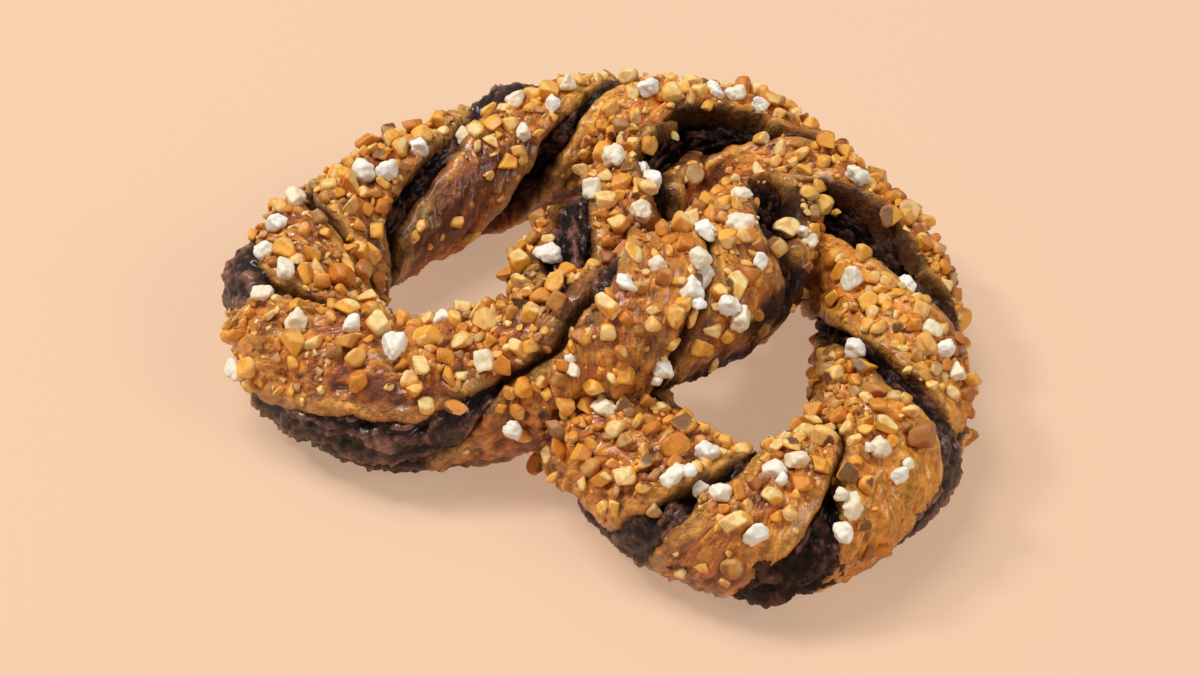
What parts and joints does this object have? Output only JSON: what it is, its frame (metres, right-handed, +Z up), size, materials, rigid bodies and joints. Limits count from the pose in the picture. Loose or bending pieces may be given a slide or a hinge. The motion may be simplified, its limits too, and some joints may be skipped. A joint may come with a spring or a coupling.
{
  "type": "chocolate hazelnut pastry pretzel",
  "caption": "Pretzel-shaped baked pastry of twisted flaky dough with chocolate filling in its spiral grooves, topped with chopped hazelnuts and pearl sugar.",
  "frame": {"origin": "on the resting plane, under the middle of the plan outline", "axes": "+X along the width across the two loops, +Y from the loops towards the long back arc, +Z up"},
  "size_m": [0.1467, 0.1213, 0.0463],
  "materials": {
    "dough": "golden-brown baked layered pastry, lightly glazed",
    "filling": "baked dark chocolate paste, rough with small glossy spots",
    "sugar": "matt white pearl-sugar nibs",
    "hazelnut": "toasted chopped hazelnut, pale cut faces and browned edges"
  },
  "bodies": {
    "root": {"pastry_twist": "dough", "chocolate_filling_1": "filling", "chocolate_filling_2": "filling", "chocolate_filling_3": "filling", "chocolate_filling_4": "filling", "chocolate_filling_5": "filling", "chocolate_filling_6": "filling", "chocolate_filling_7": "filling", "sugar_nib_01": "sugar", "sugar_nib_02": "sugar", "sugar_nib_03": "sugar", "sugar_nib_04": "sugar", "sugar_nib_05": "sugar", "sugar_nib_06": "sugar", "sugar_nib_07": "sugar", "sugar_nib_08": "sugar", "sugar_nib_09": "sugar", "sugar_nib_10": "sugar", "sugar_nib_11": "sugar", "sugar_nib_12": "sugar", "sugar_nib_13": "sugar", "sugar_nib_14": "sugar", "sugar_nib_15": "sugar", "sugar_nib_16": "sugar", "sugar_nib_17": "sugar", "sugar_nib_18": "sugar", "sugar_nib_19": "sugar", "sugar_nib_20": "sugar", "sugar_nib_21": "sugar", "sugar_nib_22": "sugar", "sugar_nib_23": "sugar", "hazelnut_piece_01": "hazelnut", "hazelnut_piece_05": "hazelnut", "hazelnut_piece_06": "hazelnut", "hazelnut_piece_07": "hazelnut", "hazelnut_piece_08": "hazelnut", "hazelnut_piece_09": "hazelnut", "hazelnut_piece_10": "hazelnut", "hazelnut_piece_11": "hazelnut", "hazelnut_piece_12": "hazelnut", "hazelnut_piece_13": "hazelnut", "hazelnut_piece_14": "hazelnut", "hazelnut_piece_16": "hazelnut", "hazelnut_piece_18": "hazelnut", "hazelnut_piece_20": "hazelnut", "hazelnut_piece_21": "hazelnut", "hazelnut_piece_22": "hazelnut", "hazelnut_piece_23": "hazelnut", "hazelnut_piece_24": "hazelnut", "hazelnut_piece_25": "hazelnut", "hazelnut_piece_26": "hazelnut", "hazelnut_piece_27": "hazelnut", "hazelnut_piece_29": "hazelnut"}
  },
  "joints": []
}
